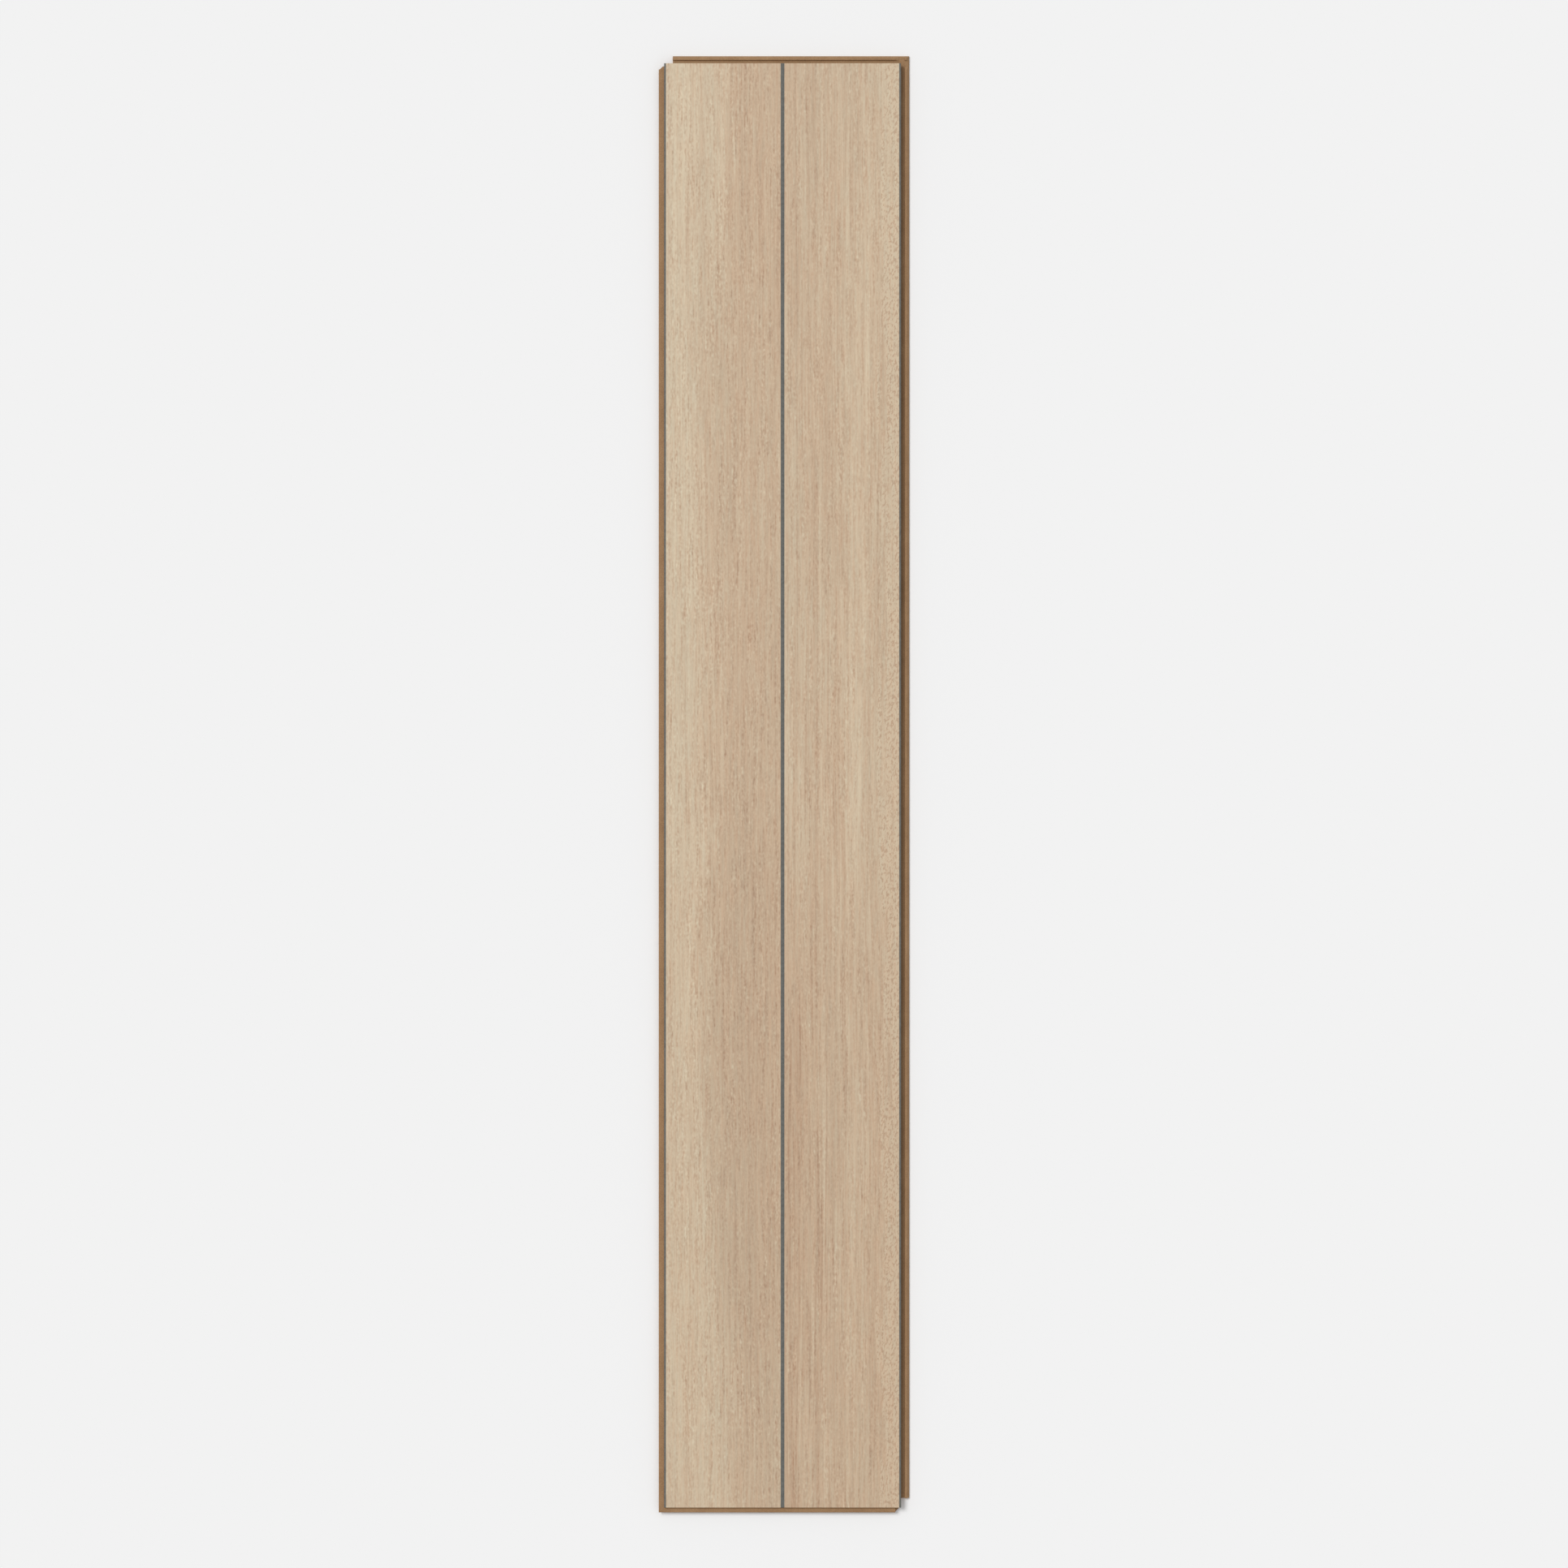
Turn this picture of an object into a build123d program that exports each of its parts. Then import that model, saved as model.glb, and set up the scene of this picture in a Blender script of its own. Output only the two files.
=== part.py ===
"""Laminate floor plank with an angle-in click joint on all four edges, in millimetres.

The plank lies face up. X runs across its width, Y along its length and Z up from its underside.
The origin is under the middle of the laid face, on the underside.
"""

import math
import os

from build123d import *

# Laid size: the part of the face that shows in a finished floor
FACE_LENGTH = 1207.0
FACE_WIDTH = 198.0
THICKNESS = 8.0

# Tongue, measured outwards from the joint line and upwards from the underside
TONGUE_REACH = 4.6
TONGUE_TOP = 5.2
TONGUE_NOSE = 1.8
TONGUE_HEEL = 1.2
NOSE_RADIUS = 0.7
HEEL_RADIUS = 1.5

# Lower lip of the groove, with the ridge that locks behind the neighbour's tongue
LIP_REACH = 7.0
LIP_FLOOR = 2.1
LIP_END = 1.3
RIDGE_RISE = 1.1
RIDGE_START = 2.8
RIDGE_WIDTH = 1.4
RIDGE_ANGLE = 55.0

# Cutter corners, and the play that lets a tongue turn into its groove
MILLING_PLAY = 0.15
LEAD_IN_RADIUS = 0.5
GROOVE_RADIUS = 0.45
RIDGE_RADIUS = 0.3
LIP_RADIUS = 0.5

RIDGE_TOP = LIP_FLOOR + RIDGE_RISE
RIDGE_RUN = RIDGE_RISE / math.tan(math.radians(RIDGE_ANGLE))
RIDGE_CREST = RIDGE_START + RIDGE_RUN
GROOVE_TOP = TONGUE_TOP + MILLING_PLAY
GROOVE_DEPTH = TONGUE_REACH + MILLING_PLAY
GROOVE_BACK_FLOOR = TONGUE_TOP - TONGUE_NOSE - MILLING_PLAY
TONGUE_FLOOR = LIP_FLOOR + MILLING_PLAY
RECESS_TOP = RIDGE_TOP + MILLING_PLAY
RECESS_REACH = LIP_REACH + MILLING_PLAY
LENGTH_OVER_JOINTS = FACE_LENGTH + TONGUE_REACH + LIP_REACH
WIDTH_OVER_JOINTS = FACE_WIDTH + TONGUE_REACH + LIP_REACH


def groove_side(joint):
    """Corners (across, up, radius) of the grooved edge, from the face down to the underside."""
    return [
        (joint, THICKNESS, 0),
        (joint, GROOVE_TOP, LEAD_IN_RADIUS),
        (joint - GROOVE_DEPTH, GROOVE_TOP, GROOVE_RADIUS),
        (joint - GROOVE_DEPTH, GROOVE_BACK_FLOOR, GROOVE_RADIUS),
        (joint - TONGUE_HEEL, LIP_FLOOR, HEEL_RADIUS),
        (joint + RIDGE_START, LIP_FLOOR, RIDGE_RADIUS),
        (joint + RIDGE_CREST, RIDGE_TOP, RIDGE_RADIUS),
        (joint + RIDGE_CREST + RIDGE_WIDTH, RIDGE_TOP, LIP_RADIUS),
        (joint + LIP_REACH, LIP_END, LIP_RADIUS),
        (joint + LIP_REACH, 0, 0),
    ]


def tongue_side(joint):
    """Corners (across, up, radius) of the tongued edge, from the underside up to the face."""
    return [
        (joint + RECESS_REACH, 0, 0),
        (joint + RECESS_REACH, RECESS_TOP, LIP_RADIUS),
        (joint + RIDGE_CREST - MILLING_PLAY, RECESS_TOP, RIDGE_RADIUS),
        (joint + RIDGE_START - MILLING_PLAY, TONGUE_FLOOR, LIP_RADIUS),
        (joint - TONGUE_HEEL, TONGUE_FLOOR, HEEL_RADIUS),
        (joint - TONGUE_REACH, TONGUE_TOP - TONGUE_NOSE, NOSE_RADIUS),
        (joint - TONGUE_REACH, TONGUE_TOP, NOSE_RADIUS),
        (joint, TONGUE_TOP, 0),
        (joint, THICKNESS, 0),
    ]


def section_outline(laid_size):
    """Draws the closed section between two joint lines that are laid_size apart."""
    corners = groove_side(laid_size / 2) + tongue_side(-laid_size / 2)
    points = [(across, up) for across, up, radius in corners]
    radii = [radius for across, up, radius in corners]
    FilletPolyline(*points, radius=radii, close=True)


# The long edges are milled along the whole board, and the short edges then across it,
# so at each corner only what both passes leave stands
with BuildPart() as plank:
    with BuildSketch(Plane.XZ):
        with BuildLine():
            section_outline(FACE_WIDTH)
        make_face()
    extrude(amount=LENGTH_OVER_JOINTS, both=True)
    with BuildSketch(Plane.YZ):
        with BuildLine():
            section_outline(FACE_LENGTH)
        make_face()
    extrude(amount=WIDTH_OVER_JOINTS, both=True, mode=Mode.INTERSECT)
    # The second pass cuts a crumb of ridge free at two corners, and it falls away
    crumbs = plank.solids().sort_by(SortBy.VOLUME)[:-1]
    add(crumbs, mode=Mode.SUBTRACT)

plank.part.label = "plank"
os.makedirs("parts", exist_ok=True)
export_step(plank.part, "parts/plank.step")
print("plank", plank.part.bounding_box().size, "volume", round(plank.part.volume))
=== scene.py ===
# %% [markdown]
# A laminate floor plank, dressed for its picture
#
# The plank is a fibreboard core with a printed paper pressed on its face and a click joint milled round
# its four edges. Its shape could be drawn again here, but the packed model already has it exactly, and is
# loaded as a fixed frame in metres: X across the width, Y along the length and Z up from the underside.
# So this lesson gives every surface its finish, and then adds the light and the camera.

# %% Load the frame
import math
from collections import namedtuple

import bmesh
import bpy
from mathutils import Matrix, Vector


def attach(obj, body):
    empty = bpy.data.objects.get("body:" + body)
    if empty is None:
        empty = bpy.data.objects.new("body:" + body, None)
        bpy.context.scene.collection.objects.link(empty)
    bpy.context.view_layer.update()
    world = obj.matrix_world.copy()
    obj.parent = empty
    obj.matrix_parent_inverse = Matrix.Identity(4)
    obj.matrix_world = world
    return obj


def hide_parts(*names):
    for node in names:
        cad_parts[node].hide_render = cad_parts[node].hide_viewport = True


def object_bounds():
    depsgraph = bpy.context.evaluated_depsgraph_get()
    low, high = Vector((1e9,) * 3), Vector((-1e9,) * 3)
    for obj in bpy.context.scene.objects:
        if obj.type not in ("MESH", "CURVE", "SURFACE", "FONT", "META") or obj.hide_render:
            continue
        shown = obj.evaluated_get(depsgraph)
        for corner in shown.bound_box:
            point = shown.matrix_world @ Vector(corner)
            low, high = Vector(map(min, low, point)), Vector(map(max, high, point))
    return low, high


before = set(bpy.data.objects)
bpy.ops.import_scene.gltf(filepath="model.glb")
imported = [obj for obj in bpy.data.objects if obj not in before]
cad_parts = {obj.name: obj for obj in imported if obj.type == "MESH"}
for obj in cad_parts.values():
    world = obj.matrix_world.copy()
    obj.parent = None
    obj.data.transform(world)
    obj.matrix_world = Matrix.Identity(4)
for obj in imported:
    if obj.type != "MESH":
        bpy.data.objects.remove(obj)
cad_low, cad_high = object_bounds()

print("plank box, metres:", tuple(cad_low), tuple(cad_high))

# %% [markdown]
# The printed face is the part of the plank that shows in a finished floor. The tongues and lips of
# the joint stand out beyond it. Its size could be typed in, but all later places follow from it, so it
# is measured once, from the topmost corners of the packed plank.

# %% Measure the printed face
# Slack for places in metres and for normals
TINY = 1e-6

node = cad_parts["plank"]
FACE_HEIGHT = cad_high.z
face_corners = [vertex.co for vertex in node.data.vertices if vertex.co.z > FACE_HEIGHT - TINY]
HALF_WIDTH = max(corner.x for corner in face_corners)
HALF_LENGTH = max(corner.y for corner in face_corners)
print("printed face:", round(2 * HALF_LENGTH, 4), "by", round(2 * HALF_WIDTH, 4), "m")

# %% [markdown]
# The photograph looks straight down on the face, with the length of the plank upright in the picture.
# A camera with no turn looks down already. It could be set to show no perspective at all, but a long
# lens from far away also keeps the long sides parallel, and works as a real camera does.

# %% Camera
LENS = 100.0
PICTURE_FILL = 0.93

middle = (cad_low + cad_high) / 2
picture_height = (cad_high.y - cad_low.y) / PICTURE_FILL
bpy.ops.object.camera_add(location=middle, rotation=(0, 0, 0))
camera = bpy.context.active_object
camera.data.lens = LENS
camera.location.z = FACE_HEIGHT + picture_height * LENS / camera.data.sensor_width
bpy.context.scene.camera = camera
print("camera height:", round(camera.location.z, 3))

# %% [markdown]
# The board is the whole plank. Its finishes could go straight on the packed mesh, but that is loose
# triangles and has to stay as it is. So a copy is merged into one skin, and its flat triangles are
# joined into whole faces that can be cut and finished.

# %% Copy and merge the board
def edit(piece):
    """Makes the piece the only one selected, and opens it in edit mode with all of it selected."""
    bpy.ops.object.select_all(action="DESELECT")
    piece.select_set(True)
    bpy.context.view_layer.objects.active = piece
    bpy.ops.object.mode_set(mode="EDIT")
    bpy.ops.mesh.select_all(action="SELECT")


FLAT_ANGLE = math.radians(0.1)

board = bpy.data.objects.new("board", node.data.copy())
bpy.context.collection.objects.link(board)
edit(board)
bpy.ops.mesh.customdata_custom_splitnormals_clear()
bpy.ops.mesh.remove_doubles(threshold=TINY)
bpy.ops.mesh.dissolve_limited(angle_limit=FLAT_ANGLE)
bpy.ops.object.mode_set(mode="OBJECT")
print("board:", len(board.data.vertices), "corners,", len(board.data.polygons), "faces")

# %% [markdown]
# A saw never leaves a perfect corner: the hard top layer has its edge broken by a fine arris, which
# catches a thin line of light. A shader could fake it, but a small bevel on the rim of the printed face
# shows from every side and stays with the shape.

# %% Break the top edges
def choose(kind, test):
    """In edit mode, selects the faces or edges that pass the test, and nothing else."""
    bpy.ops.mesh.select_mode(type=kind)
    bpy.ops.mesh.select_all(action="DESELECT")
    shape = bmesh.from_edit_mesh(bpy.context.object.data)
    for element in shape.faces if kind == "FACE" else shape.edges:
        if test(element):
            element.select_set(True)
    bmesh.update_edit_mesh(bpy.context.object.data)


def is_top(face):
    """True for the flat printed face."""
    return face.normal.z > 1 - TINY and face.calc_center_median().z > FACE_HEIGHT - TINY


def is_rim(edge):
    """True for an edge between the printed face and a side."""
    return [is_top(face) for face in edge.link_faces].count(True) == 1


ARRIS = 0.0002
ARRIS_STEPS = 2

edit(board)
choose("EDGE", is_rim)
bpy.ops.mesh.bevel(offset=ARRIS, segments=ARRIS_STEPS, affect="EDGES")
bpy.ops.object.mode_set(mode="OBJECT")
print("with its arris:", len(board.data.polygons), "faces")

# %% [markdown]
# The print shows two strips of wood with a dark seam between them, like the caulking of a deck.
# Half a seam also runs along each long edge, because a seam lies over the joint there. One material
# could paint the seams with a mask, but a cut along their borders makes each strip and seam a face of
# its own, with an edge that stays crisp from near by.

# %% Cut the seam borders
SEAM_WIDTH = 0.0031
SEAM_BORDERS = (
    SEAM_WIDTH / 2 - HALF_WIDTH,
    -SEAM_WIDTH / 2,
    SEAM_WIDTH / 2,
    HALF_WIDTH - SEAM_WIDTH / 2,
)
LEAST_UPWARD = 0.1


def is_printed(face):
    """True for the printed face and its arris."""
    return face.normal.z > LEAST_UPWARD and face.calc_center_median().z > FACE_HEIGHT - ARRIS


edit(board)
for border in SEAM_BORDERS:
    choose("FACE", is_printed)
    bpy.ops.mesh.bisect(plane_co=(border, 0, 0), plane_no=(1, 0, 0))
bpy.ops.object.mode_set(mode="OBJECT")
print("cut into strips:", len(board.data.polygons), "faces")

# %% [markdown]
# Five finishes show on the board: two printed strips, the seams, the bare fibreboard of the milled
# edges and the backing paper below. The faces could be picked by hand, one by one, but the height,
# tilt and place of a face already tell which finish it has.

# %% Give each face its finish
FINISHES = ("left_strip", "right_strip", "seam", "fibreboard", "backing")


def finish_of(face):
    """Names the finish of a face of the board."""
    if face.normal.z < -1 + TINY and face.center.z < TINY:
        return "backing"
    if face.normal.z < LEAST_UPWARD or face.center.z < FACE_HEIGHT - ARRIS:
        return "fibreboard"
    from_seam = min(abs(face.center.x), HALF_WIDTH - abs(face.center.x))
    if from_seam < SEAM_WIDTH / 2:
        return "seam"
    return "left_strip" if face.center.x < 0 else "right_strip"


board.data.materials.clear()
for name in FINISHES:
    board.data.materials.append(bpy.data.materials.new(name))
for face in board.data.polygons:
    face.material_index = FINISHES.index(finish_of(face))
for index, name in enumerate(FINISHES):
    print(name, sum(face.material_index == index for face in board.data.polygons), "faces")

# %% [markdown]
# The rounded parts of the joint have many narrow facets. More facets would make them rounder, but
# shading them smooth, except across real corners, does so at no cost. A Weighted Normal modifier then
# keeps the broad flats flat.

# %% Shade the milled curves
SMOOTH_ANGLE = math.radians(20)

bpy.ops.object.shade_smooth_by_angle(angle=SMOOTH_ANGLE)
bpy.ops.object.modifier_add(type="WEIGHTED_NORMAL")
board.modifiers[-1].keep_sharp = True
bpy.ops.object.modifier_apply(modifier=board.modifiers[-1].name)
print("corners left sharp:", sum(edge.use_edge_sharp for edge in board.data.edges), "edges")

# %% [markdown]
# When the finish is baked into a picture, the printed face needs most of that picture, because the grain
# is fine across the board. Smart Project alone would give it too little, so the printed face is laid
# out here as one island in the left part of the map. All else that Smart Project lays out is
# squeezed into the right part.

# %% Lay out the bake map
FACE_SHARE = 0.8
MAP_MARGIN = 0.01

edit(board)
bpy.ops.mesh.uv_texture_add()
board.data.uv_layers[-1].name = "OFBake"
bpy.ops.uv.smart_project(island_margin=MAP_MARGIN, scale_to_bounds=True)
bpy.ops.object.mode_set(mode="OBJECT")
bake_map = board.data.uv_layers["OFBake"].uv
PRINTED = [FINISHES.index(name) for name in ("left_strip", "right_strip", "seam")]
for face in board.data.polygons:
    for corner in face.loop_indices:
        spot = bake_map[corner].vector
        if face.material_index in PRINTED:
            point = board.data.vertices[board.data.loops[corner].vertex_index].co
            across = 0.5 + point.x / HALF_WIDTH / 2
            along = 0.5 + point.y / HALF_LENGTH / 2
            bake_map[corner].vector = (across * (FACE_SHARE - MAP_MARGIN), along)
        else:
            bake_map[corner].vector = (FACE_SHARE + spot.x * (1 - FACE_SHARE), spot.y)
print("bake map:", FACE_SHARE, "of its width for the printed face")

# %% [markdown]
# A material is a sum of many small patterns. Wiring them by hand takes one Math node for each sign, so
# this small class wraps a socket and lets the sums be written as Python sums. Every other node comes
# from its one method, which sets the node up first and then fills its sockets.

# %% Shader sums
class Wire:
    """One output socket in a node tree. Sums with numbers and other wires add Math nodes."""

    def __init__(self, tree, socket=None):
        self.tree = tree
        self.socket = socket

    def node(self, kind, settings=None, sockets=None, output=0):
        """Adds a node, makes its settings, fills its sockets and returns the wire of one output."""
        made = self.tree.nodes.new(kind)
        for name, setting in (settings or {}).items():
            if name == "stops":
                self.set_stops(made.color_ramp, setting)
            elif name == "curve":
                made.color_ramp.interpolation = setting
            else:
                setattr(made, name, setting)
        for name, value in (sockets or {}).items():
            if isinstance(value, Wire):
                self.tree.links.new(value.socket, made.inputs[name])
            else:
                made.inputs[name].default_value = value
        return Wire(self.tree, made.outputs[output])

    def other(self, output):
        """The wire of another output of the same node."""
        return Wire(self.tree, self.socket.node.outputs[output])

    def set_stops(self, color_ramp, stops):
        """Fills a ramp with (position, colour) stops. A plain number is a grey."""
        while len(color_ramp.elements) < len(stops):
            color_ramp.elements.new(1.0)
        for element, (position, colour) in zip(color_ramp.elements, stops):
            element.position = position
            element.color = colour if isinstance(colour, tuple) else (colour, colour, colour, 1.0)

    def calculate(self, operation, *values):
        """Adds a Math node."""
        return self.node("ShaderNodeMath", {"operation": operation}, dict(enumerate(values)))

    def __add__(self, other):
        return self.calculate("ADD", self, other)

    def __sub__(self, other):
        return self.calculate("SUBTRACT", self, other)

    def __rsub__(self, other):
        return self.calculate("SUBTRACT", other, self)

    def __mul__(self, other):
        return self.calculate("MULTIPLY", self, other)

    def __truediv__(self, other):
        return self.calculate("DIVIDE", self, other)

    def __rtruediv__(self, other):
        return self.calculate("DIVIDE", other, self)

    def __abs__(self):
        return self.calculate("ABSOLUTE", self)

    __radd__ = __add__
    __rmul__ = __mul__


print("operators ready:", [name for name in vars(Wire) if name.startswith("__") and "init" not in name])

# %% [markdown]
# These tools draw on the board: a soft step between two values, a curve along the length, a stripe and
# a fine line. A painted picture could hold all of this, but masks that are worked out at each point stay
# sharp from near by and need no file.

# %% Drawing tools
def soft_step(value, low, high, before=0.0, after=1.0):
    """One number up to low, another from high on, and a smooth change between."""
    sockets = {"Value": value, "From Min": low, "From Max": high, "To Min": before, "To Max": after}
    return value.node("ShaderNodeMapRange", {"interpolation_type": "SMOOTHSTEP"}, sockets)


def curve(value, stops):
    """A smooth curve through (position, height) stops, all between 0 and 1."""
    settings = {"curve": "CARDINAL", "stops": stops}
    return value.node("ShaderNodeValToRGB", settings, {"Fac": value})


def stripe(across, centre, half_width):
    """1 along a centre line, fading to 0 at half_width on both sides."""
    return 1 - soft_step(abs(across - centre), 0.0, half_width)


LINE_REACH = 0.025


def line(across, along, start, drift, levels):
    """A fine line of so many screen levels, from a place across that drifts so far over the length."""
    return stripe(across, along * drift + start, LINE_REACH) * levels


print("soft_step, curve, stripe and line are ready")

# %% [markdown]
# Grain is noise drawn out along the length, in layers of ever finer lumps. Lump sizes are in metres, so
# a fibre is as large as on the real print. A straight cut through noise would show the rows of its
# lattice, so the board cuts askew through solid noise. Pores lie apart from each other, which noise
# can't give, so each sits in a Voronoi cell of its own.

# %% Grain and pores
# Lumps are so many metres wide and long, and strength is in the unit of what the layer changes
Layer = namedtuple("Layer", "wide long detail seed strength", defaults=(1.0,))

ASKEW = (math.radians(-28), math.radians(48), math.radians(21))
NOISE_STEP = 17.3
CELL_STEP = 31.7
SPOT_CORE = 0.1
SPOT_RIM = 0.45


def noise(place, scale, detail):
    """Noise from 0 to 1, mostly near 0.5, with so many lumps to a unit of place."""
    sockets = {"Vector": place, "Scale": scale, "Detail": detail}
    return place.node("ShaderNodeTexNoise", sockets=sockets)


def stretched(place, scale, shift=(0.0, 0.0, 0.0), turn=(0.0, 0.0, 0.0)):
    """The place scaled along each axis, turned and shifted."""
    sockets = {"Vector": place, "Location": shift, "Rotation": turn, "Scale": scale}
    return place.node("ShaderNodeMapping", sockets=sockets)


def grain(x, y, layer, seed):
    """Noise from about -1 to 1, in the lumps of a layer."""
    flat = x.node("ShaderNodeCombineXYZ", sockets={"X": x, "Y": y})
    scale = (1 / layer.wide, 1 / layer.long, 1.0)
    shift = (0.0, 0.0, NOISE_STEP * (seed + layer.seed))
    return noise(stretched(flat, scale, shift, ASKEW), 1.0, layer.detail) * 2 - 1


def tones(x, y, layer, seed):
    """Grain of the layer's own strength."""
    return grain(x, y, layer, seed) * layer.strength


def spots(x, y, layer, seed):
    """Separate spots from 0 to 1, each of its own darkness, in cells of the layer's size."""
    cell_x = x / layer.wide + CELL_STEP * (seed + layer.seed)
    cell = x.node("ShaderNodeCombineXYZ", sockets={"X": cell_x, "Y": y / layer.long})
    sockets = {"Vector": cell, "Scale": 1.0}
    distance = x.node("ShaderNodeTexVoronoi", {"voronoi_dimensions": "2D"}, sockets, output="Distance")
    return (1 - soft_step(distance, SPOT_CORE, SPOT_RIM)) * distance.other("Color")


print("a layer has", Layer._fields)

# %% [markdown]
# Colours are written as they look on a screen, from 0 to 255, and turned into the linear numbers
# that Blender works with. The wood lies on one line of tones from pinkish brown to pale cream. One ramp
# would look dyed, so there are two, one a little rosier and one a little greyer, and the print
# drifts from one to the other.

# %% Wood colours
def paint(red, green, blue):
    """A screen colour from 0 to 255 as Blender's linear colour."""
    def linear(level):
        share = level / 255
        return share / 12.92 if share <= 0.04045 else ((share + 0.055) / 1.055) ** 2.4
    return (linear(red), linear(green), linear(blue), 1.0)


def ramp(value, stops):
    """The colour at a value on a ramp of (position, colour) stops."""
    return value.node("ShaderNodeValToRGB", {"stops": stops}, {"Fac": value})


FIRST_COLOUR = 6
SECOND_COLOUR = 7
MIXED_COLOUR = 2


def mix(factor, first, second):
    """The first colour at factor 0, the second at 1, and a mixture between."""
    sockets = {"Factor": factor, FIRST_COLOUR: first, SECOND_COLOUR: second}
    return first.node("ShaderNodeMix", {"data_type": "RGBA"}, sockets, output=MIXED_COLOUR)


TONE_REACH = 30.0
ROSY_WOOD = ((0.0, paint(178, 142, 113)), (0.5, paint(204, 175, 145)), (1.0, paint(227, 209, 179)))
GREY_WOOD = ((0.0, paint(173, 143, 117)), (0.5, paint(198, 176, 148)), (1.0, paint(221, 209, 182)))


def wood_colour(tone, greyness):
    """The colour of the wood at a tone of so many screen levels above or below its middle."""
    share = tone / (2 * TONE_REACH) + 0.5
    return mix(greyness, ramp(share, ROSY_WOOD), ramp(share, GREY_WOOD))


print("wood tones reach", TONE_REACH, "levels to each side")

# %% [markdown]
# The longest marks of the print are lines along the grain: broad ribbons, streaks, and among them a few
# darker and paler lines. A Wave texture would space them too evenly, so they are grain too, and the
# darker and paler lines are the peaks of theirs. Strengths are in screen levels.

# %% Long lines
RIBBONS = Layer(wide=0.009, long=0.3, detail=1.0, seed=10, strength=4)
STREAKS = Layer(wide=0.0026, long=0.2, detail=2.0, seed=1, strength=10)
DARK_LINES = Layer(wide=0.0022, long=0.15, detail=0.0, seed=11, strength=7)
PALE_LINES = Layer(wide=0.0024, long=0.12, detail=0.0, seed=12, strength=4)
PEAK_FOOT = 0.2
PEAK_TOP = 0.45


def peaks(x, y, layer, seed):
    """Only the peaks of a layer, so that they stand apart as lines."""
    return soft_step(grain(x, y, layer, seed), PEAK_FOOT, PEAK_TOP) * layer.strength


def long_lines(x, y, seed):
    """Streaks with darker and paler lines among them."""
    return tones(x, y, STREAKS, seed) + peaks(x, y, PALE_LINES, seed) - peaks(x, y, DARK_LINES, seed)


print("streaks are", STREAKS.wide, "m wide and", STREAKS.long, "m long")

# %% [markdown]
# Between the lines lies the fibre: strands, dashes and specks, each shorter than the last, dark pores,
# and hairs too fine to see one by one. A single noise with much detail would look alike at every size,
# so each kind of mark has its own layer. The marks are strongest in the dark strands, where the real
# wood shows its cut vessels, and in loose patches.

# %% Fibre
STRANDS = Layer(wide=0.0018, long=0.045, detail=1.0, seed=2, strength=8)
LONG_DASHES = Layer(wide=0.0016, long=0.016, detail=0.0, seed=3, strength=10)
DASHES = Layer(wide=0.0014, long=0.006, detail=0.0, seed=4, strength=11)
SPECKS = Layer(wide=0.0014, long=0.0024, detail=0.0, seed=14, strength=18)
PORES = Layer(wide=0.0024, long=0.009, detail=0.0, seed=6, strength=15)
HAIRS = Layer(wide=0.0005, long=0.012, detail=1.0, seed=15, strength=9)
PATCHES = Layer(wide=0.009, long=0.12, detail=1.0, seed=13)
DARK_STRAND = -0.35
PALE_STRAND = 0.3
DARK_STRAND_MARKS = 1.1
PALE_STRAND_MARKS = 0.3
PATCH_REACH = 0.4
LEAST_PATCH_MARKS = 0.75
MOST_PATCH_MARKS = 1.25


def fibre(x, y, seed, strand, sunk_marks):
    """Dashes and the sunk specks and pores, stronger in the dark strands and in patches."""
    vessels = soft_step(strand, DARK_STRAND, PALE_STRAND, DARK_STRAND_MARKS, PALE_STRAND_MARKS)
    patch = grain(x, y, PATCHES, seed)
    patches = soft_step(patch, -PATCH_REACH, PATCH_REACH, LEAST_PATCH_MARKS, MOST_PATCH_MARKS)
    dashes = tones(x, y, LONG_DASHES, seed) + tones(x, y, DASHES, seed)
    return (dashes + sunk_marks) * vessels * patches


print("the finest fibre is", HAIRS.wide, "m wide")

# %% [markdown]
# Where wood is cut across its rays, short slanted flecks take the place of the lines, on a paler ground.
# Spots in cells would lie too evenly, so the flecks are short grain, leaning to one side and cut off at
# a soft threshold.

# %% Flecks
FLECKS = Layer(wide=0.0014, long=0.0028, detail=2.0, seed=5, strength=25)
FLECK_SLANT = 0.15
FLECK_GROUND = 6.5
FLECK_FOOT = -0.1
FLECK_TOP = 0.34


def flecks(x, y, seed):
    """Dark flecks on a pale ground, in screen levels."""
    slanted = grain(x - y * FLECK_SLANT, y, FLECKS, seed)
    return FLECK_GROUND - soft_step(slanted, FLECK_FOOT, FLECK_TOP) * FLECKS.strength


print("flecks lean by", FLECK_SLANT)

# %% [markdown]
# Every patterned finish starts in the same way: its material hands out the place on the object and
# its surface shader, and patterns are then linked to the shader's sockets. Relief could be real
# geometry, but these finishes are only hundredths of a millimetre deep, so a Bump node is enough.

# %% Material tools
def open_material(name):
    """Returns the object coordinates of a material as a wire, and its surface shader."""
    material = bpy.data.materials[name]
    material.use_nodes = True
    place = Wire(material.node_tree).node("ShaderNodeTexCoord", output="Object")
    return place, material.node_tree.nodes["Principled BSDF"]


def connect(value, shader, socket):
    """Links a wire to a socket of the surface shader."""
    value.tree.links.new(value.socket, shader.inputs[socket])


def emboss(height, strength, depth, shader):
    """Gives the surface a fine relief, so many metres deep where the height is 1."""
    sockets = {"Strength": strength, "Distance": depth, "Height": height}
    connect(height.node("ShaderNodeBump", sockets=sockets), shader, "Normal")


print("materials to fill:", [material.name for material in board.data.materials])

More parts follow.
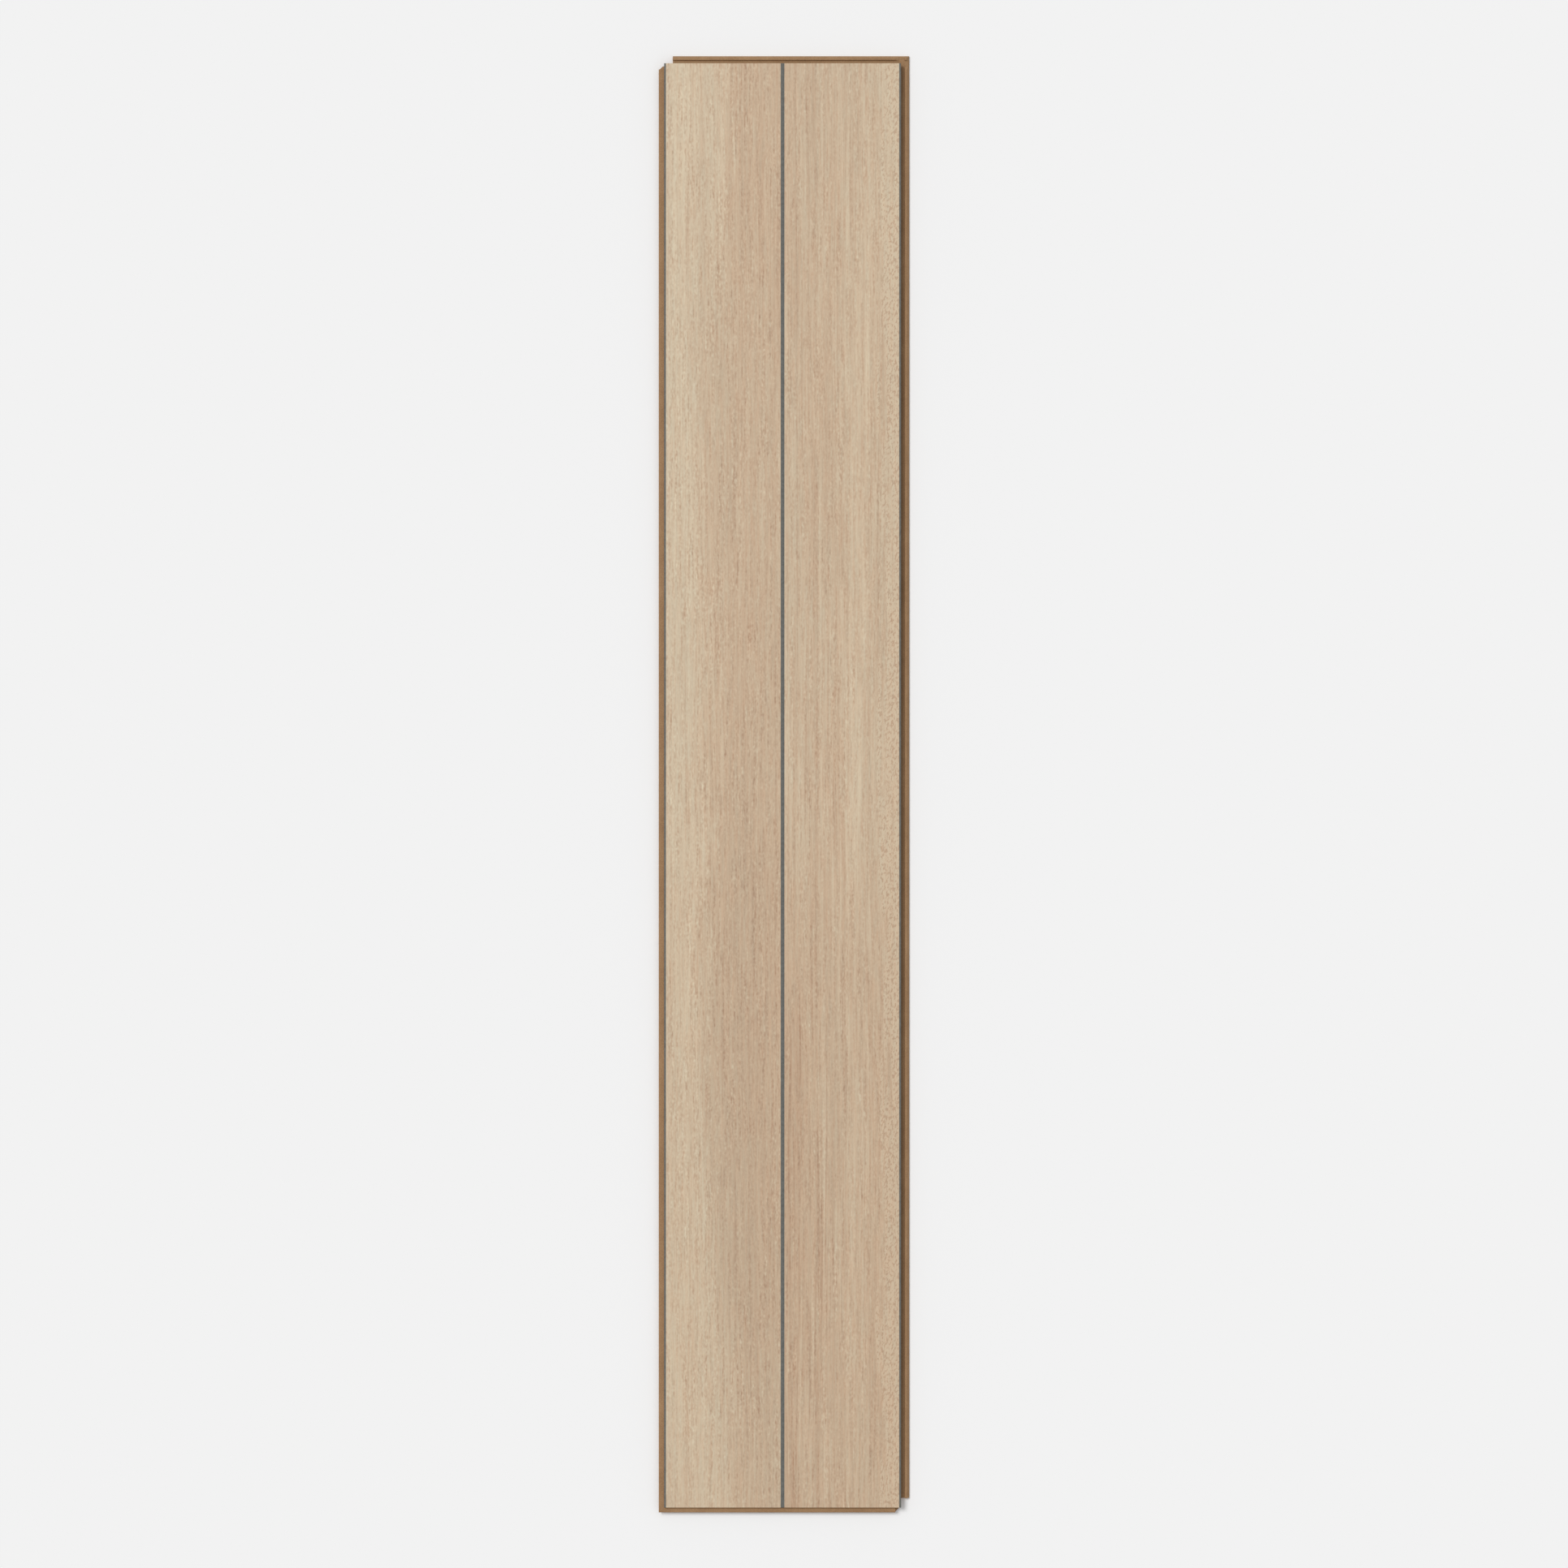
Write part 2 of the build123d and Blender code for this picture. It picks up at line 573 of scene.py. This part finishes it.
# %% [markdown]
# Each strip looks like one band of veneer. Its figure, the slow play of pale and dark bands, is its own
# and is drawn in the next two steps. The lines and the fibre are alike on both, so one function prints
# them over the figure. The grain sways a little, and the borders of the bands are feathered, because
# ruled edges would look painted. Specks and pores are also sunk, and the pores are duller.

# %% Printed strip
Figure = namedtuple("Figure", "bands cool lining fleck")

# How far the grain, the bands and the lines sway, in metres, and the lines' share of the feathering
DRIFT = Layer(wide=0.03, long=0.22, detail=1.0, seed=0)
FEATHER = Layer(wide=0.004, long=0.08, detail=1.0, seed=7, strength=0.02)
GRAIN_SWAY = 0.002
BAND_SWAY = 0.004
LINE_SWAY = 0.001
LINE_FEATHER = 0.04

# Tone in screen levels, greyness as a share, and how much the flecks hide of what lies below
MIDDLE_TONE = 2.7
SLOW_GREY = Layer(wide=0.02, long=0.25, detail=0.0, seed=8, strength=0.3)
FINE_GREY = Layer(wide=0.0016, long=0.02, detail=0.0, seed=9, strength=0.65)
FLECK_OVER_LINES = 0.8
FLECK_OVER_STRANDS = 0.6

# Gloss and relief
SATIN = 0.5
PORE_DULLNESS = 0.1
PRINT_RELIEF = 0.5
PORE_DEPTH = 0.00008
FULL_DEPTH_LEVELS = 20


def printed_strip(name, left, right, seed, figure, fibre_strength):
    """Prints one strip of wood between two places across the board."""
    place, shader = open_material(name)
    x = place.node("ShaderNodeSeparateXYZ", sockets={"Vector": place}, output="X")
    y = x.other("Y")
    drift = grain(x, y, DRIFT, seed)
    bent = x + drift * GRAIN_SWAY
    feather = tones(bent, y, FEATHER, seed)
    across = (x + drift * BAND_SWAY + feather - left) / (right - left)
    straight = (x + drift * LINE_SWAY + feather * LINE_FEATHER - left) / (right - left)
    along = 0.5 - y / (2 * HALF_LENGTH)
    drawn = figure(across, straight, along)
    strand = grain(bent, y, STRANDS, seed)
    pores = spots(bent, y, PORES, seed)
    sunk_marks = tones(bent, y, SPECKS, seed) - pores * PORES.strength
    marks = fibre(bent, y, seed, strand, sunk_marks) * fibre_strength
    # A strip without flecks has the number 0 as their mask
    if drawn.fleck:
        marks = marks * (1 - drawn.fleck) + flecks(x, y, seed) * drawn.fleck
    lines = tones(bent, y, RIBBONS, seed) + long_lines(bent, y, seed) * drawn.lining
    lines = lines * (1 - drawn.fleck * FLECK_OVER_LINES)
    strands = strand * STRANDS.strength * (1 - drawn.fleck * FLECK_OVER_STRANDS)
    tone = drawn.bands + lines + strands + marks + tones(bent, y, HAIRS, seed) + MIDDLE_TONE
    greyness = tones(x, y, SLOW_GREY, seed) + tones(bent, y, FINE_GREY, seed) + drawn.cool
    connect(wood_colour(tone, greyness), shader, "Base Color")
    connect(pores * PORE_DULLNESS + SATIN, shader, "Roughness")
    emboss(sunk_marks / FULL_DEPTH_LEVELS, PRINT_RELIEF, PORE_DEPTH, shader)
    print(name, "has", len(place.tree.nodes), "nodes")


print("a figure has", Figure._fields)

# %% [markdown]
# The left strip has a pale sapwood side. Its border wanders along the board, a pale tongue stands beside
# it at the far end, and past the middle the heartwood beside it darkens. A few fine lines keep their
# place for a long way. Noise can't put all this where the real print has it, so it is drawn. Shares
# across run from the left edge of the strip, and shares along from the far end of the board.

# %% Left strip
SAPWOOD_BORDER = [(0.0, 0.27), (0.14, 0.29), (0.30, 0.33), (0.50, 0.42),
                  (0.63, 0.34), (0.75, 0.38), (0.90, 0.56), (1.0, 0.62)]
SAPWOOD_PALENESS = [(0.0, 1.0), (0.15, 0.8), (0.6, 0.64), (1.0, 0.5)]
SAPWOOD_BLUR = 0.15
SAPWOOD_LEVELS = 17
TONGUE_LEVELS = 11
SHADE_LEVELS = 6.5
LEFT_TONE = -2.3
LEFT_COOL = 0.45
COOL_STEP = 0.15
LEFT_LINING = 0.75


def left_figure(across, straight, along):
    """Draws the left strip: bands in screen levels, coolness, strength of its lines, and no flecks."""
    border = curve(along, SAPWOOD_BORDER)
    sapwood = 1 - soft_step(across, border - SAPWOOD_BLUR, border + SAPWOOD_BLUR)
    far = 1 - soft_step(along, 0.07, 0.25)
    tongue = soft_step(across, 0.27, 0.40) * (1 - soft_step(across, 0.49, 0.58)) * far
    shade = soft_step(along, 0.42, 0.66) * (1 - soft_step(along, 0.82, 1.05)) * stripe(across, 0.72, 0.5)
    near_lines = line(straight, along, start=0.58, drift=0.0, levels=3)
    near_lines = near_lines + line(straight, along, start=0.5, drift=0.0, levels=-6)
    lines = near_lines * soft_step(along, 0.74, 0.82)
    lines = lines + line(straight, along, start=0.422, drift=0.035, levels=-2.5)
    pale = sapwood * curve(along, SAPWOOD_PALENESS) * SAPWOOD_LEVELS + tongue * TONGUE_LEVELS
    near_end = soft_step(along, 0.85, 1.0)
    right_side = soft_step(across, 0.65, 0.85) * (1 - near_end)
    cooler = shade + near_end - far * (1 - sapwood) - right_side
    return Figure(
        bands=pale - shade * SHADE_LEVELS + lines + LEFT_TONE,
        cool=cooler * COOL_STEP + LEFT_COOL,
        lining=LEFT_LINING,
        fleck=0.0,
    )


INNER_EDGE = SEAM_WIDTH / 2
OUTER_EDGE = HALF_WIDTH - SEAM_WIDTH / 2

printed_strip("left_strip", -OUTER_EDGE, -INNER_EDGE, seed=1, figure=left_figure, fibre_strength=0.92)

# %% [markdown]
# The right strip is more even. A pale streak runs along it, thin lines keep to their places, its near
# third is darker with a brown left edge, and its right margin has the flecks. It is drawn in the same
# way as the left one, with a mask for each band.

# %% Right strip
STREAK_PLACE = [(0.0, 0.68), (0.3, 0.62), (0.45, 0.61), (0.57, 0.66), (1.0, 0.65)]
STREAK_PALENESS = [(0.0, 0.2), (0.15, 0.5), (0.3, 1.0), (0.6, 1.0), (0.75, 0.7), (1.0, 0.3)]
STREAK_REACH = 0.16
STREAK_LEVELS = 7
MARGIN_LEVELS = 4
FAR_RIGHT_LEVELS = 3
MIDDLE_LEFT_LEVELS = 2
NEAR_LEVELS = 4.5
BROWN_EDGE_LEVELS = 6
BROWN_SIDE_LEVELS = 2.5
RIGHT_COOL = 0.4
RIGHT_LINING = 1.0
NEAR_LINING = 0.6


def right_figure(across, straight, along):
    """Draws the right strip: bands in screen levels, coolness, strength of its lines, and flecks."""
    streak = stripe(across, curve(along, STREAK_PLACE), STREAK_REACH) * curve(along, STREAK_PALENESS)
    margin = soft_step(across, 0.78, 0.90)
    far_right = soft_step(across, 0.45, 0.6) * (1 - soft_step(along, 0.1, 0.25))
    near = soft_step(along, 0.5, 0.7)
    middle_left = (1 - soft_step(across, 0.15, 0.3)) * soft_step(along, 0.15, 0.25) * (1 - near)
    brown_edge = (1 - soft_step(across, 0.05, 0.28)) * soft_step(along, 0.58, 0.78)
    brown_side = stripe(across, 0.78, 0.12) * soft_step(along, 0.5, 0.65)
    pale = streak * STREAK_LEVELS + margin * MARGIN_LEVELS
    pale = pale + far_right * FAR_RIGHT_LEVELS + middle_left * MIDDLE_LEFT_LEVELS
    dark = near * NEAR_LEVELS + brown_edge * BROWN_EDGE_LEVELS + brown_side * BROWN_SIDE_LEVELS
    far_end = 1 - soft_step(along, 0.15, 0.27)
    lines = line(straight, along, start=0.287, drift=0.075, levels=4)
    lines = lines + line(straight, along, start=0.262, drift=0.03, levels=-6)
    lines = lines + line(straight, along, start=0.104, drift=0.02, levels=-3)
    lines = lines + line(straight, along, start=0.345, drift=0.1, levels=-4) * near
    lines = lines + line(straight, along, start=0.606, drift=0.0, levels=-5) * far_end
    near_left = soft_step(along, 0.55, 0.75) * (1 - soft_step(across, 0.45, 0.65))
    return Figure(
        bands=pale - dark + lines,
        cool=RIGHT_COOL,
        lining=near_left * NEAR_LINING + RIGHT_LINING,
        fleck=soft_step(across, 0.80, 0.92),
    )


printed_strip("right_strip", INNER_EDGE, OUTER_EDGE, seed=21, figure=right_figure, fibre_strength=0.8)

# %% [markdown]
# The seams are printed in one dark grey, flush with the wood, and are duller than it. One flat colour
# would nearly do, but a faint mottle keeps them from looking cut out of paper.

# %% Seams
SEAM_GREY = paint(90, 90, 85)
SEAM_GREY_PALE = paint(106, 106, 101)
SEAM_LUMPS_PER_METRE = 400.0
SEAM_ROUGHNESS = 0.55
SEAM_ROUGHNESS_PLAY = 0.1

place, shader = open_material("seam")
mottle = noise(place, SEAM_LUMPS_PER_METRE, detail=2.0)
connect(ramp(mottle, ((0.3, SEAM_GREY), (0.7, SEAM_GREY_PALE))), shader, "Base Color")
connect(mottle * SEAM_ROUGHNESS_PLAY + SEAM_ROUGHNESS, shader, "Roughness")
print("seams are", SEAM_WIDTH, "m wide")

# %% [markdown]
# The milled edges show the core: wood fibres pressed with resin, brown and matt, in faint layers. At
# the very top and bottom, the cut edges of the printed paper and the backing show as thin paler lines.
# The papers could be pieces of their own, but they are pressed into one with the core, so the height
# on the edge picks their colour.

# %% Fibreboard
CORE_DARK = paint(132, 100, 68)
CORE_MID = paint(158, 123, 87)
CORE_PALE = paint(180, 147, 110)
# Lumps to a metre, and the share of each pattern in the fibre
CORE_SPECKS = 1500.0
CORE_LAYERS = (20.0, 20.0, 2500.0)
CORE_CLOUDS = 120.0
SPECK_SHARE = 0.6
LAYER_SHARE = 0.25
CLOUD_SHARE = 0.15
CORE_ROUGHNESS = 0.72
CORE_ROUGHNESS_PLAY = 0.2
CORE_RELIEF = 0.6
CORE_DEPTH = 0.00015
PAPER_EDGE = paint(205, 190, 168)
PAPER_THICKNESS = 0.00025

place, shader = open_material("fibreboard")
speck = noise(place, CORE_SPECKS, detail=3.0)
layer = noise(stretched(place, CORE_LAYERS), 1.0, detail=2.0)
cloud = noise(place, CORE_CLOUDS, detail=2.0)
pressed_fibre = speck * SPECK_SHARE + layer * LAYER_SHARE + cloud * CLOUD_SHARE
core = ramp(pressed_fibre, ((0.3, CORE_DARK), (0.5, CORE_MID), (0.7, CORE_PALE)))
height = place.node("ShaderNodeSeparateXYZ", sockets={"Vector": place}, output="Z")
print_foot = FACE_HEIGHT - ARRIS - PAPER_THICKNESS
print_edge = soft_step(height, print_foot, print_foot + PAPER_THICKNESS / 2)
back_edge = 1 - soft_step(height, PAPER_THICKNESS / 2, PAPER_THICKNESS)
connect(mix(print_edge + back_edge, core, PAPER_EDGE), shader, "Base Color")
connect(speck * CORE_ROUGHNESS_PLAY + CORE_ROUGHNESS, shader, "Roughness")
emboss(pressed_fibre, CORE_RELIEF, CORE_DEPTH, shader)
print("fibreboard below", round(print_foot, 5), "m, paper edge above")

# %% [markdown]
# The underside carries a plain backing paper that keeps the board flat. It is a dull grey-beige with
# the soft cloudiness of paper and fine threads. One noise would look like plaster, so a second one,
# drawn out into threads, lies over the clouds and gives the faint relief.

# %% Backing paper
PAPER_DARK = paint(176, 165, 146)
PAPER_PALE = paint(198, 188, 170)
# Lumps to a metre, and the share of the threads in the paper
PAPER_CLOUDS = 150.0
PAPER_THREADS = (1200.0, 250.0, 1.0)
THREAD_SHARE = 0.4
PAPER_ROUGHNESS = 0.7
PAPER_ROUGHNESS_PLAY = 0.15
PAPER_RELIEF = 0.3
PAPER_DEPTH = 0.0001

place, shader = open_material("backing")
cloud = noise(place, PAPER_CLOUDS, detail=4.0)
thread = noise(stretched(place, PAPER_THREADS), 1.0, detail=2.0)
paper = cloud * (1 - THREAD_SHARE) + thread * THREAD_SHARE
connect(ramp(paper, ((0.35, PAPER_DARK), (0.65, PAPER_PALE))), shader, "Base Color")
connect(cloud * PAPER_ROUGHNESS_PLAY + PAPER_ROUGHNESS, shader, "Roughness")
emboss(thread, PAPER_RELIEF, PAPER_DEPTH, shader)
print("backing paper has", len(place.tree.nodes), "nodes")

# %% [markdown]
# The plank lies on a plain pale floor that is large enough to fill low views. A backdrop could be bent
# up behind it, but the world can do that work: it is an even white light, and shows to the camera as
# pale as the floor, so that no hard horizon stands behind the plank.

# %% Floor and world
FLOOR_SIZE = 60.0
FLOOR_GAP = 0.0001
FLOOR_WHITE = (0.96, 0.96, 0.96, 1.0)
WORLD_WHITE = (1.0, 1.0, 1.0, 1.0)
WORLD_LIGHT = 0.51

bpy.ops.object.select_all(action="DESELECT")
bpy.ops.mesh.primitive_plane_add(size=FLOOR_SIZE, location=(0, 0, -FLOOR_GAP))
bpy.ops.object.transform_apply(location=True)
floor = bpy.context.active_object
floor.name = "floor"
floor_paint = bpy.data.materials.new("floor")
floor_paint.use_nodes = True
floor.data.materials.append(floor_paint)
shader = floor_paint.node_tree.nodes["Principled BSDF"]
shader.inputs["Base Color"].default_value = FLOOR_WHITE
shader.inputs["Roughness"].default_value = 1.0
shader.inputs["Specular IOR Level"].default_value = 0.0

world = bpy.data.worlds.new("studio")
bpy.context.scene.world = world
world.use_nodes = True
background = world.node_tree.nodes["Background"]
background.inputs["Color"].default_value = WORLD_WHITE
seen = Wire(world.node_tree).node("ShaderNodeLightPath", output="Is Camera Ray")
connect(seen * (FLOOR_WHITE[0] - WORLD_LIGHT) + WORLD_LIGHT, background, "Strength")
print("floor is", FLOOR_SIZE, "m wide, and the world shines at", WORLD_LIGHT)

# %% [markdown]
# One broad lamp stands far away, high on the left behind the plank. An area lamp would fade along such
# a long board, but a sun lamp lights its whole length evenly, as in the photograph, and its wide angle
# makes the shadows soft. With the even world it makes a colour render about as it is written.

# %% Lamp
LAMP_FROM = Vector((-0.55, 0.45, 1.0))
LAMP_STRENGTH = 1.6
LAMP_ANGLE = math.radians(25)

bpy.ops.object.light_add(type="SUN")
lamp = bpy.context.active_object
lamp.rotation_euler = (-LAMP_FROM).to_track_quat("-Z", "Y").to_euler()
lamp.data.energy = LAMP_STRENGTH
lamp.data.angle = LAMP_ANGLE
bpy.context.scene.view_settings.view_transform = "Standard"
print("lamp shines from", tuple(LAMP_FROM))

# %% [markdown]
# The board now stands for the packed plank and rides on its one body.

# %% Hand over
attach(board, "root")
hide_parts("plank")
